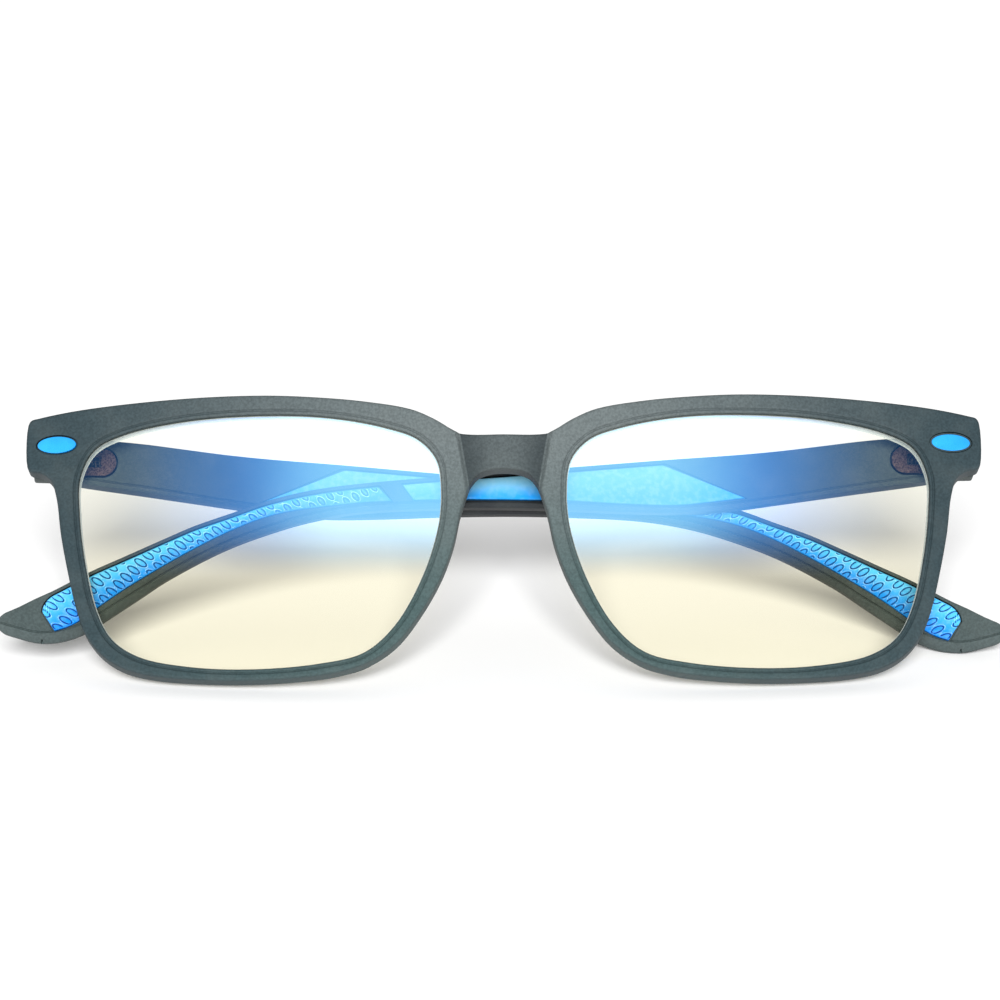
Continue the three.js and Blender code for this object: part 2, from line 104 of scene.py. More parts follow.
BLUE_LOW = [
    (24, 8.75), (32, 7.75), (37, 7.3), (44, 7.5), (51, 7.9), (60, 8.05), (68, 8), (78, 7.55),
    (85, 6.75), (88.7, 6.15), (92.3, 5.1), (95.8, 3.6), (99.4, 1.75), (103.4, -0.55),
    (107.5, -3.1), (110, -4.75), (113, -6.95), (115, -8.55), (117, -9.75), (120, -10.8),
]
UPPER_BORDER = 0.7
PANEL = {"upper": (38.5, 73.2), "lower": (27.6, 71.7), "corner": 0, "leads": (2.4, 1.2)}
GRIP = {"upper": (76.4, 120.4), "lower": (74.6, 118.8), "corner": 1.5, "leads": (1.4, 1.0)}
STRIP_THICK = 0.8
STRIP_HEIGHT = 5.0  # nominal, spaces the columns of a strip's grid
STRIP_GAP = 0.18  # how far a strip's pocket is wider than the strip
SEAM_AT = 120.4

# Rows of raised ovals on the grip: where each row starts on the upper edge.
OVAL_ROWS = [75.6, 80.2, 84.8, 89.5, 94.3, 99.3, 104.6, 110.2, 116.4]
OVAL_STEP_ALONG, OVAL_STEP_DOWN = 1.25, 0.52
OVAL_LONG, OVAL_SHORT = 0.86, 0.37
OVAL_LEAN = Vector((-0.56, 0.83))

# ---------------------------------------------------------------- small helpers


def clamp(value, low=0.0, high=1.0):
    return np.minimum(np.maximum(value, low), high)


def smoothstep(value, low, high):
    t = clamp((value - low) / (high - low))
    return t * t * (3 - 2 * t)


def wrap(x):
    return np.maximum(0, np.abs(x) - WRAP_FLAT) ** 2 / (2 * WRAP_RADIUS)


def profile(knots):
    """A smooth function through (s, value) knots."""
    at = np.array([k[0] for k in knots], float)
    value = np.array([k[1] for k in knots], float)
    last = len(knots) - 1
    ahead = np.minimum(np.arange(last + 1) + 1, last)
    behind = np.maximum(np.arange(last + 1) - 1, 0)
    slope = (value[ahead] - value[behind]) / (at[ahead] - at[behind])

    def evaluate(s):
        i = np.clip(np.searchsorted(at, s, side="right") - 1, 0, last - 1)
        h = at[i + 1] - at[i]
        t = (s - at[i]) / h
        return (
            value[i] * (1 + 2 * t) * (1 - t) ** 2
            + slope[i] * h * t * (1 - t) ** 2
            + value[i + 1] * t * t * (3 - 2 * t)
            + slope[i + 1] * h * t * t * (t - 1)
        )

    return evaluate


def smooth_loop(corners, per_corner):
    """A closed centripetal Catmull-Rom curve through the corners, as an array of points."""
    knots = np.array(corners, float)
    count = len(knots)
    points = []
    for i in range(count):
        p0, p1, p2, p3 = (knots[(i + k) % count] for k in (-1, 0, 1, 2))
        d0, d1, d2 = (math.sqrt(np.linalg.norm(b - a)) for a, b in ((p0, p1), (p1, p2), (p2, p3)))
        start = ((p1 - p0) / d0 - (p2 - p0) / (d0 + d1) + (p2 - p1) / d1) * d1
        end = ((p2 - p1) / d1 - (p3 - p1) / (d1 + d2) + (p3 - p2) / d2) * d1
        for k in range(per_corner):
            t = k / per_corner
            points.append(
                p1 + start * t + (3 * (p2 - p1) - 2 * start - end) * t**2
                + (2 * (p1 - p2) + start + end) * t**3
            )
    return np.array(points)


def signed_area(loop):
    ahead = np.roll(loop, -1, axis=0)
    return 0.5 * float(np.sum(loop[:, 0] * ahead[:, 1] - ahead[:, 0] * loop[:, 1]))


def inset(loop, distance):
    """The loop moved inwards by a distance, or outwards by a negative one."""
    along = np.roll(loop, -1, axis=0) - np.roll(loop, 1, axis=0)
    along /= np.linalg.norm(along, axis=1)[:, None]
    turn = 1 if signed_area(loop) > 0 else -1
    return loop + distance * turn * np.stack([-along[:, 1], along[:, 0]], axis=1)


def inside(points, loop):
    """True for each point that lies inside the loop."""
    x, y = points[:, 0][:, None], points[:, 1][:, None]
    x0, y0 = loop[:, 0][None], loop[:, 1][None]
    x1, y1 = np.roll(x0, -1, axis=1), np.roll(y0, -1, axis=1)
    crosses = (y0 > y) != (y1 > y)
    steep = np.where(y1 == y0, 1e-9, y1 - y0)
    left = x < (x1 - x0) * (y - y0) / steep + x0
    return np.sum(crosses & left, axis=1) % 2 == 1


def distance_to(points, loop):
    a = loop[None]
    edge = np.roll(loop, -1, axis=0)[None] - a
    rel = points[:, None] - a
    t = clamp(np.sum(rel * edge, axis=2) / np.sum(edge * edge, axis=2))
    return np.min(np.linalg.norm(rel - t[..., None] * edge, axis=2), axis=1)


WELD = 2e-4


def plain_mesh(name, points, faces):
    """A mesh whose faces point outwards, with doubled points welded."""
    mesh = bpy.data.meshes.new(name)
    mesh.from_pydata([tuple(p) for p in points], [], faces)
    work = bmesh.new()
    work.from_mesh(mesh)
    bmesh.ops.remove_doubles(work, verts=work.verts, dist=WELD)
    bmesh.ops.dissolve_degenerate(work, edges=work.edges, dist=1e-5)
    bmesh.ops.recalc_face_normals(work, faces=work.faces)
    work.to_mesh(mesh)
    work.free()
    return mesh


def bridge_rings(rings):
    """Quads between rings of equal length, given as lists of point numbers."""
    faces = []
    for a, b in zip(rings, rings[1:]):
        count = len(a)
        for i in range(count):
            j = (i + 1) % count
            faces.append((a[i], a[j], b[j], b[i]))
    return faces


def loft_mesh(name, rings):
    """A closed solid through rings of points, capped at both ends."""
    count = len(rings[0])
    points = [p for ring in rings for p in ring]
    numbered = [list(range(k * count, (k + 1) * count)) for k in range(len(rings))]
    faces = bridge_rings(numbered)
    faces += [tuple(numbered[0]), tuple(numbered[-1])]
    return plain_mesh(name, points, faces)


def box_mesh(x, y, z):
    corners = [[(i, j, z[k]) for i, j in ((x[0], y[0]), (x[1], y[0]), (x[1], y[1]), (x[0], y[1]))]
               for k in (0, 1)]
    return loft_mesh("box", corners)


def temporary(mesh):
    made = bpy.data.objects.new(mesh.name, mesh)
    bpy.context.scene.collection.objects.link(made)
    return made


def combined(mesh, added=(), removed=()):
    """The mesh with some solids joined on and then others cut away."""
    base = temporary(mesh)
    helpers = []
    for operation, solids in (("UNION", added), ("DIFFERENCE", removed)):
        for solid in solids:
            helper = temporary(solid)
            helpers.append(helper)
            step = base.modifiers.new("step", "BOOLEAN")
            step.operation = operation
            step.solver = "EXACT"
            step.object = helper
    graph = bpy.context.evaluated_depsgraph_get()
    result = bpy.data.meshes.new_from_object(base.evaluated_get(graph))
    for helper in [base, *helpers]:
        bpy.data.objects.remove(helper)
    work = bmesh.new()
    work.from_mesh(result)
    bmesh.ops.remove_doubles(work, verts=work.verts, dist=WELD)
    bmesh.ops.dissolve_degenerate(work, edges=work.edges, dist=1e-4)
    work.to_mesh(result)
    work.free()
    return result


def placed(axes, origin):
    """The matrix that takes a piece's own axes and origin to the row frame."""
    rows = [[axis[row] for axis in axes] + [origin[row]] for row in range(3)]
    return Matrix(rows + [[0, 0, 0, 1]])


def front_place(side=1):
    """From the front's axes to the row frame; side -1 mirrors a piece to the other side."""
    return placed([side * MM * ACROSS, MM * BACK, MM * UP], ORIGIN)


def arm_place(name):
    """From a temple's axes (out, along, up from the pin) to the row frame."""
    side = SIDES[name]
    along = Vector(JOINTS[f"{name}_spring_travel"]["axis"]).normalized()
    out = side * along.cross(UP)
    pin = Vector(JOINTS[f"{name}_temple_hinge"]["pos_m"])
    return placed([MM * out, MM * along, MM * UP], pin)


def show(name, mesh, place, body, node, material, sharp=35):
    """Puts a finished mesh into the scene in place of one CAD node."""
    mesh.name = name
    mesh.transform(place)
    if place.to_3x3().determinant() < 0:
        mesh.flip_normals()
    mesh.materials.clear()
    mesh.materials.append(material)
    mesh.shade_smooth()
    mesh.set_sharp_from_angle(angle=math.radians(sharp))
    piece = temporary(mesh)
    piece.name = name
    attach(piece, body)
    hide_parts(node)
    return piece


# ---------------------------------------------------------------- front moulding

BRIDGE_TOP = 14.15
BRIDGE_HALF = 5.75  # half width of the bridge's face at its top
BRIDGE_TAPER = 0.17  # how much of it is lost per millimetre further down
BRIDGE_CREASE = 0.75
BRIDGE_CROWN = 0.3
CREASE_WIDTH = 0.6
EDGE_RUN = 0.12  # flat margin between a rounded edge and the face's own points
GRID = 0.85
OUTER_STEPS = 5  # points per corner of the outlines
APERTURE_STEPS = 7
HINGE_SEAT = {"x": (56.6, 64), "z": (9, 18)}
NOSE_PAD_AT = (8.6, 4.7, -1.9)
NOSE_PAD_RADII = (1.1, 3.5, 4.7)
POCKET_GAP = 0.22  # how far the inlay's pocket is wider than the inlay


def crease_at(z):
    """Half width of the bridge's face at a height."""
    return BRIDGE_HALF - (BRIDGE_TOP - z) * BRIDGE_TAPER


def bridge_recess(x, z):
    """How far the face lies behind the rims' face: a valley beside each rim, crowned between."""
    half = crease_at(z)
    across = np.abs(x) / half
    between = BRIDGE_CROWN + (BRIDGE_CREASE - BRIDGE_CROWN) * clamp(across) ** 3
    beyond = BRIDGE_CREASE * (1 - smoothstep(np.abs(x) - half, 0, CREASE_WIDTH))
    return np.where(across < 1, between, beyond) * smoothstep(z, 4, 7.5)


def front_points(flat, depth):
    """Points of the front from outline positions and their depth below its face."""
    x, z = flat[:, 0], flat[:, 1]
    y = wrap(x) + depth + bridge_recess(x, z) * (1 - depth / FRONT_DEPTH) ** 2
    return np.stack([x, y, z], axis=1)


LIP = [(0.95, 0.0), (0.84, 0.0), (0.76, 0.05), (0.68, 0.2), (0.6, 0.3), (0.52, 0.31),
       (0.45, 0.24), (0.37, 0.16), (0.28, 0.14), (0.18, 0.17), (0.08, 0.26), (0.02, 0.38), (0, 0.5)]


def rounded_rows(inward=0.0):
    """(inset, depth) rows over a rounded edge that starts some way in from the outline."""
    rows = [(inward + FRONT_EDGE + EDGE_RUN, 0.0)]
    for k in range(5):
        angle = math.radians(22.5 * k)
        distance = inward + FRONT_EDGE * (1 - math.sin(angle))
        rows.append((distance, FRONT_EDGE * (1 - math.cos(angle))))
    return rows


def from_back(rows):
    """The same rows seen from the back of the front, in reverse order."""
    return [(distance, FRONT_DEPTH - depth) for distance, depth in reversed(rows)]


def lip_rows(groove):
    """Rows over the small lip round a lens opening, past its groove, to the back."""
    return LIP + groove + from_back(rounded_rows(BACK_LIP))


def edge_rows(wall):
    """Rows over a rounded edge, down a wall and over the back edge."""
    rows = rounded_rows()
    return rows + wall + from_back(rows)


def face_grid(outer, holes):
    """Points spread over the face between the outlines, closer together beside the bridge."""
    xs = np.arange(-63, 63.1, GRID)
    zs = np.arange(-19, 20, GRID)
    grid = np.array([(x + GRID / 2 * (row % 2), z) for row, z in enumerate(zs) for x in xs])
    near_bridge = (np.abs(grid[:, 0]) < 8.5) & (grid[:, 1] > 6)
    grid = grid[~near_bridge]
    creases = []
    for z in np.arange(6.2, 17, 0.4):
        for offset in (-0.6, -0.3, -0.12, 0, 0.15, 0.3, 0.45, 0.6, 0.85, 1.3, 1.8):
            creases += [(side * (crease_at(z) + offset), z) for side in (1, -1)]
        for x in np.arange(-crease_at(z) + 0.9, crease_at(z) - 0.8, 0.5):
            creases.append((x, z))
    points = np.vstack([grid, np.array(creases)])
    keep = inside(points, outer) & (distance_to(points, outer) > 0.2)
    for hole in holes:
        keep &= ~inside(points, hole) & (distance_to(points, hole) > 0.2)
    return points[keep]


def face_cap(outer, holes):
    """Triangles over the face between the outer outline and the openings."""
    loops = [outer, *holes]
    extra = face_grid(outer, holes)
    points, edges = [], []
    for loop in loops:
        start = len(points)
        points += [Vector(p) for p in loop]
        edges += [(start + i, start + (i + 1) % len(loop)) for i in range(len(loop))]
    points += [Vector(p) for p in extra]
    flat, _, faces, *_ = delaunay_2d_cdt(points, edges, [], 0, 1e-5)
    flat = np.array([tuple(p) for p in flat])
    middles = np.array([flat[list(face)].mean(axis=0) for face in faces])
    keep = inside(middles, outer)
    for hole in holes:
        keep &= ~inside(middles, hole)
    return flat, [face for face, kept in zip(faces, keep) if kept]


def mirrored(loop):
    return (loop * np.array([-1, 1]))[::-1]


def front_outline():
    other = [(-x, z) for x, z in reversed(OUTER_EDGE[1:-1])]
    return smooth_loop(OUTER_EDGE + other, OUTER_STEPS)


def aperture_outline():
    return smooth_loop(APERTURE, APERTURE_STEPS)


def front_blank():
    """The front before the hinge seats, inlay pockets and nose pads are worked into it.

    Where the lower rim is narrow, the rows of its two outlines cross and leave the mesh open.
    """
    aperture = aperture_outline()
    outer = front_outline()
    loops = [(outer, 1), (aperture, -1), (mirrored(aperture), -1)]
    half = LENS_HALF + 0.01
    groove = [(0, LENS_MID - half), (GROOVE_DEPTH, LENS_MID), (BACK_LIP, LENS_MID + 0.6)]
    points, faces = [], []
    ends = []
    for loop, into in loops:
        rows = edge_rows([(0, 1.3), (0, 2.6)]) if into > 0 else lip_rows(groove)
        rings = []
        for distance, depth in rows:
            start = len(points)
            points += list(front_points(inset(loop, into * distance), depth))
            rings.append(list(range(start, len(points))))
        faces += bridge_rings(rings)
        ends.append([inset(loop, into * rows[k][0]) for k in (0, -1)])
    for which, depth in enumerate((0, FRONT_DEPTH)):
        flat, triangles = face_cap(ends[0][which], [pair[which] for pair in ends[1:]])
        start = len(points)
        points += list(front_points(flat, depth))
        faces += [tuple(start + i for i in face) for face in triangles]
    return plain_mesh("front", points, faces)


def ellipse(half_width, half_height, count):
    angles = np.linspace(0, 2 * math.pi, count, endpoint=False)
    return np.stack([half_width * np.cos(angles), half_height * np.sin(angles)], axis=1)


def inlay_rings(rows, count=72):
    """Rings of an oval standing in the end piece: rows of (inset, height above the surface)."""
    slope = math.atan((INLAY_X - WRAP_FLAT) / WRAP_RADIUS)
    turn = Matrix.Rotation(slope, 3, "Z")
    middle = Vector((INLAY_X, float(wrap(INLAY_X)), INLAY_Z))
    rings = []
    for distance, height in rows:
        oval = ellipse(max(INLAY_WIDTH - distance, 0.01), max(INLAY_HEIGHT - distance, 0.01), count)
        rings.append([middle + turn @ Vector((x, -height, z)) for x, z in oval])
    return rings


def mirror_mesh(mesh):
    copy = mesh.copy()
    copy.transform(Matrix.Scale(-1, 4, (1, 0, 0)))
    copy.flip_normals()
    return copy


def nose_pad():
    work = bmesh.new()
    bmesh.ops.create_uvsphere(work, u_segments=48, v_segments=32, radius=1)
    mesh = bpy.data.meshes.new("nose_pad")
    work.to_mesh(mesh)
    work.free()
    lean = Matrix.Rotation(math.radians(-20), 4, "Y") @ Matrix.Rotation(math.radians(-5), 4, "Z")
    size = Matrix.Diagonal((*NOSE_PAD_RADII, 1))
    mesh.transform(Matrix.Translation(NOSE_PAD_AT) @ lean @ size)
    return mesh


def front_mesh():
    seat = box_mesh(HINGE_SEAT["x"], (SEAT_Y, 12), HINGE_SEAT["z"])
    leaf = box_mesh((PIN.x - 2.7, PIN.x + 1.8), (SEAT_Y - 0.9, 12), (PIN.z - 2.4, PIN.z + 2.4))
    pocket = loft_mesh("pocket", inlay_rings([(-POCKET_GAP, -0.75), (-POCKET_GAP, 1)]))
    rim = loft_mesh("rim", inlay_rings([(-POCKET_GAP, -0.1), (-0.5, 0.18)]))
    removed = [seat, leaf, pocket, rim]
    removed += [mirror_mesh(mesh) for mesh in removed]
    pad = nose_pad()
    return combined(front_blank(), [pad, mirror_mesh(pad)], removed)


# ---------------------------------------------------------------- lenses and inlays


def lens_mesh():
    """The domed lens with a sharp ridge that stands in the rim's groove."""
    loop = aperture_outline()
    centre = (loop.min(axis=0) + loop.max(axis=0)) / 2
    shoulder = inset(loop, 0.12)
    ridge = inset(loop, -0.55)

    def dome(share, edge_y):
        flat = centre + (shoulder - centre) * share
        y = np.full(len(flat), edge_y - LENS_DOME * (1 - share * share))
        return np.stack([flat[:, 0], y + wrap(flat[:, 0]), flat[:, 1]], axis=1)

    shares = [0.02, 0.12, 0.24, 0.36, 0.48, 0.6, 0.72, 0.84, 0.94, 1]
    front = [dome(share, LENS_MID - LENS_HALF + 0.02) for share in shares]
    back = [dome(share, LENS_MID + LENS_HALF - 0.02) for share in reversed(shares)]
    ridge_y = LENS_MID + wrap(ridge[:, 0])
    ring = np.stack([ridge[:, 0], ridge_y, ridge[:, 1]], axis=1)
    return loft_mesh("lens", [*front, ring, *back])


def inlay_mesh():
    """An oval button with a rounded edge and a gently domed face."""
    rows = [(0.0, -0.5), (0.0, -0.12)]
    rows += [(0.16 * (1 - math.cos(math.radians(a))), -0.12 + 0.13 * math.sin(math.radians(a)))
             for a in (25, 50, 75, 90)]
    for k in range(1, 8):
        share = k / 7
        rows.append((0.16 + share * 0.96, 0.01 + 0.14 * (1 - (1 - share) ** 2)))
    return loft_mesh("inlay", inlay_rings(rows))


# ---------------------------------------------------------------- temples

top_edge = profile(TEMPLE_TOP)
bottom_edge = profile(TEMPLE_BOTTOM)
blue_low = profile(BLUE_LOW)
chamfer_at = profile([(-3, 0.45), (40, 0.5), (90, 0.55), (104, 0.7), (114, 1.1), (126.6, 0.9)])


def bow(s):
    return 0.00042 * np.maximum(0, s - 15) ** 2 + 0.016 * np.maximum(0, s - 114) ** 2


def outer_face(s):
    return TEMPLE_OUTER - 0.4 * smoothstep(s, 70, 125)


def inner_face(s):
    return -0.6 + 0.8 * smoothstep(s, 12, 24)


def temple_point(s, w, z):
    return (w - bow(s), s, z - PIN.z)


CHAMFER_GROOVE = [(0, 0.42), (0.2, 0.3), (0.2, 0.22), (0, 0.1)]
CHAMFER = [(0.01, 1.04), (0.08, 0.9), (0.45, 0.45), (0.8, 0.12), (0.95, 0.02), (1.12, 0)]


def chamfered_corner(w, z, cut, full):
    """The inner lower corner of the temple's section: a fine groove, then a soft chamfer."""
    groove = [(w + a * full, z + cut + b * full) for a, b in CHAMFER_GROOVE]
    return groove + [(w + a * cut, z + b * cut) for a, b in CHAMFER]


def temple_ring(s, shrink=0.0):
    """Section of the temple: rounded outside, with a chamfer along its inner lower edge."""
    share = float(clamp((s - ROUND_END) / (TEMPLE_LENGTH - ROUND_END)))
    full = math.sqrt(1 - share * share * 0.97)
    middle = (top_edge(s) + bottom_edge(s)) / 2
    half_height = (top_edge(s) - bottom_edge(s)) / 2 * full - shrink
    centre = (inner_face(s) + outer_face(s)) / 2
    half_width = (outer_face(s) - inner_face(s)) / 2 * (0.55 + 0.45 * full) - shrink
    ring = []
    for side_w, side_z, radius in ((1, 1, 0.8), (-1, 1, 0.3), (-1, -1, 0), (1, -1, 0.8)):
        if radius == 0:
            cut = min(float(chamfer_at(s)) * full, half_height * 0.8)
            ring += chamfered_corner(centre - half_width, middle - half_height, cut, full)
            continue
        r = min(radius, half_height * 0.9, half_width * 0.9)
        start = math.atan2(side_z, side_w) - math.pi / 4
        for k in range(7):
            angle = start + k * math.pi / 12
            ring.append((
                centre + side_w * (half_width - r) + r * math.cos(angle),
                middle + side_z * (half_height - r) + r * math.sin(angle),
            ))
    return [temple_point(s, w, z) for w, z in ring]


def housing_rings(margin, inner, outer):
    """The D-shaped outline of the spring housing with a margin, as two rings."""
    half = 1.85 + margin
    angles = np.linspace(-math.pi / 2, math.pi / 2, 25)
    outline = [(1.9 - margin, -half)]
    outline += [(6.15 + half * math.cos(a), half * math.sin(a)) for a in angles]
    outline += [(1.9 - margin, half)]
    return [[(w, s, z) for s, z in outline] for w in (inner, outer)]


def strip_outline(strip, margin, share):
    """Upper and lower points of a blue strip, widened by a margin, at a share of its length."""
    (upper_start, upper_end), (lower_start, lower_end) = strip["upper"], strip["lower"]
    start, end = strip["leads"][0] * margin, strip["leads"][1] * margin
    s_upper = upper_start - start + (upper_end - upper_start + start + end) * share
    s_lower = lower_start - start + (lower_end - lower_start + start + end) * share
    z_upper = top_edge(s_upper) - UPPER_BORDER + margin
    if strip["corner"] > 0:
        z_upper = z_upper - fillet(upper_end + end - s_upper, strip["corner"] + margin)
    return s_upper, z_upper, s_lower, blue_low(s_lower) - margin


def strip_pocket(strip, margin):
    shares = np.concatenate([np.linspace(0, 0.96, 60), np.linspace(0.963, 1, 18)])
    rings = []
    for share in shares:
        s_upper, z_upper, s_lower, z_lower = strip_outline(strip, margin, share)
        rings.append([
            temple_point(s_upper, -3, z_upper),
            temple_point(s_upper, inner_face(s_upper) + STRIP_THICK + 0.1, z_upper),
            temple_point(s_lower, inner_face(s_lower) + STRIP_THICK + 0.1, z_lower),
            temple_point(s_lower, -3, z_lower),
        ])
    return loft_mesh("pocket", rings)


def seam_notch():
    """The small V-shaped seam across the underside, just behind the grip."""
    s, z = SEAM_AT, float(bottom_edge(SEAM_AT))
    outline = [(s - 0.3, z - 0.3), (s + 0.3, z - 0.3), (s + 0.05, z + 0.45), (s - 0.05, z + 0.45)]
    return loft_mesh("notch", [[temple_point(at, w, up) for at, up in outline] for w in (-2, 1.8)])


def temple_mesh():
    stations = [(TEMPLE_START, 0.3), (TEMPLE_START + 0.04, 0.15), (TEMPLE_START + 0.15, 0.04)]
    stations += [(s, 0.0) for s in np.arange(TEMPLE_START + 0.3, ROUND_END, 1.0)]
    for k in range(1, 13):
        rest = (TEMPLE_LENGTH - ROUND_END) * math.sin(math.radians(7.5 * k))
        stations.append((ROUND_END + rest, 0.0))
    shell = loft_mesh("temple", [temple_ring(s, shrink) for s, shrink in stations])
    removed = [
        box_mesh((-4, 1.6), (-4, 1.9), (-1.95, 2.45)),
        loft_mesh("housing", housing_rings(0.25, -4, 2.0)),
        strip_pocket(PANEL, STRIP_GAP),
        strip_pocket(GRIP, STRIP_GAP),
        seam_notch(),
    ]
    return combined(shell, (), removed)


def graded(length, step, rounding):
    """Distances from 0 to length: close together near both ends, even between them."""
    ends = [0, 0.02, 0.06, 0.12, rounding]
    middle = np.linspace(rounding, length - rounding, max(3, int(length / step)))[1:-1]
    return np.array(ends + list(middle) + [length - e for e in reversed(ends)])


def fillet(distance, radius):
    """How far a rounded edge falls away at a distance from the edge."""
    gap = clamp(radius - distance, 0, radius)
    return radius - np.sqrt(radius**2 - gap**2)


def rim_of(number):
    """The numbers round the edge of a grid, once round."""
    rows, columns = number.shape
    rim = [number[i, 0] for i in range(rows)] + [number[-1, j] for j in range(1, columns)]
    rim += [number[i, -1] for i in range(rows - 2, -1, -1)]
    rim += [number[0, j] for j in range(columns - 2, 0, -1)]
    return rim


def back_faces(number, behind):
    """Faces across the back of a strip, joining the points behind its grid's two long edges."""
    rows = len(number)
    faces = []
    for i in range(rows - 1):
        first, second = number[i], number[i + 1]
        if i == 0:
            corners = [second[0], second[-1], *first[::-1]]
        elif i == rows - 2:
            corners = [first[-1], first[0], *second]
        else:
            corners = (first[0], second[0], second[-1], first[-1])
        faces.append(tuple(behind[k] for k in corners))
    return faces


def strip_mesh(strip, step, relief, edge=0.22):
    """A blue strip as one closed grid: graded rows and columns, with a relief on its face."""
    length = strip["upper"][1] - strip["upper"][0]
    height = STRIP_HEIGHT
    shares = graded(length, step, edge) / length
    s_upper, z_upper, s_lower, z_lower = strip_outline(strip, 0, shares)
    downs = graded(height, step, edge) / height
    s = s_upper[:, None] + (s_lower - s_upper)[:, None] * downs[None]
    z = z_upper[:, None] + (z_lower - z_upper)[:, None] * downs[None]
    tall = (z_upper - z_lower)[:, None]
    w = inner_face(s) + fillet(tall * downs[None], edge) + fillet(tall * (1 - downs[None]), edge)
    w = w + fillet(length * shares, edge)[:, None] + fillet(length * (1 - shares), edge)[:, None]
    w = np.minimum(w, inner_face(s) + edge + 0.05)
    level = relief(s, z)
    w = w - level
    rows, columns = s.shape
    points = [temple_point(a, b, c) for a, b, c in zip(s.ravel(), w.ravel(), z.ravel())]
    number = np.arange(rows * columns).reshape(rows, columns)
    faces = [
        (number[i, j], number[i, j + 1], number[i + 1, j + 1], number[i + 1, j])
        for i in range(rows - 1) for j in range(columns - 1)
    ]
    rim = rim_of(number)
    behind = {}
    for i in rim:
        at_s, at_z = s.ravel()[i], z.ravel()[i]
        behind[i] = len(points)
        points.append(temple_point(at_s, inner_face(at_s) + STRIP_THICK, at_z))
    faces += [(a, b, behind[b], behind[a]) for a, b in zip(rim, rim[1:] + rim[:1])]
    faces += back_faces(number, behind)
    mesh = bpy.data.meshes.new("strip")
    mesh.from_pydata(points, [], [tuple(int(k) for k in face) for face in faces])
    store(mesh, "down", np.concatenate([np.tile(downs, rows), np.ones(len(behind))]))
    store(mesh, "level", np.concatenate([level.ravel(), np.zeros(len(behind))]))
    work = bmesh.new()
    work.from_mesh(mesh)
    bmesh.ops.recalc_face_normals(work, faces=work.faces)
    work.to_mesh(mesh)
    work.free()
    return mesh


def store(mesh, name, values):
    attribute = mesh.attributes.new(name, "FLOAT", "POINT")
    attribute.data.foreach_set("value", np.asarray(values, np.float32))


def smooth_relief(s, z):
    return np.zeros_like(s)


def along_grip(s):
    """Length of the grip's upper edge up to s, and the edge's slope there."""
    at = np.linspace(70, 130, 601)
    heights = top_edge(at)
    length = np.concatenate([[0], np.cumsum(np.hypot(np.diff(at), np.diff(heights)))])
    slope = np.arctan(-np.gradient(heights, at))
    return np.interp(s, at, length), np.interp(s, at, slope)


def oval_relief(s, z):
    """Raised ovals with a groove round each, in rows that run down and back across the grip."""
    length, slope = along_grip(s)
    below = top_edge(s) - UPPER_BORDER - z
    position = length + below * np.sin(slope)
    depth = below * np.cos(slope)
    ring_all = np.zeros_like(s)
    dome_all = np.zeros_like(s)
    ridge_all = np.zeros_like(s)
    for start in OVAL_ROWS:
        first, _ = along_grip(np.array(start))
        size = 0.7 + 0.3 * smoothstep(np.array(start), 80, 99)
        for k in range(11):
            along = position - (first + 0.2 + k * OVAL_STEP_ALONG)
            down = depth - (k * OVAL_STEP_DOWN - 0.5)
            lengthwise = along * OVAL_LEAN.x + down * OVAL_LEAN.y
            sideways = along * OVAL_LEAN.y - down * OVAL_LEAN.x
            reach = np.hypot(lengthwise / (OVAL_LONG * size), sideways / (OVAL_SHORT * size))
            outside = np.hypot(lengthwise, sideways) * (1 - 1 / np.maximum(reach, 0.05))
            ring_all = np.maximum(ring_all, np.exp(-((outside / 0.095) ** 2)))
            ridge_all = np.maximum(ridge_all, np.exp(-(((outside - 0.2) / 0.08) ** 2)))
            dome_all = np.maximum(dome_all, 1 - smoothstep(reach, 0.3, 0.85))
    edge = clamp(np.minimum(depth, z - blue_low(s)) / 0.25)
    ridge_all = ridge_all * (1 - ring_all)
    return (0.02 * dome_all + 0.06 * ridge_all - 0.13 * ring_all) * edge


# ---------------------------------------------------------------- materials


def rgb(red, green, blue):
    """An sRGB colour, 0 to 255, as the linear colour a node takes."""
    def linear(value):
        v = value / 255
        return v / 12.92 if v <= 0.04045 else ((v + 0.055) / 1.055) ** 2.4
    return (linear(red), linear(green), linear(blue), 1)


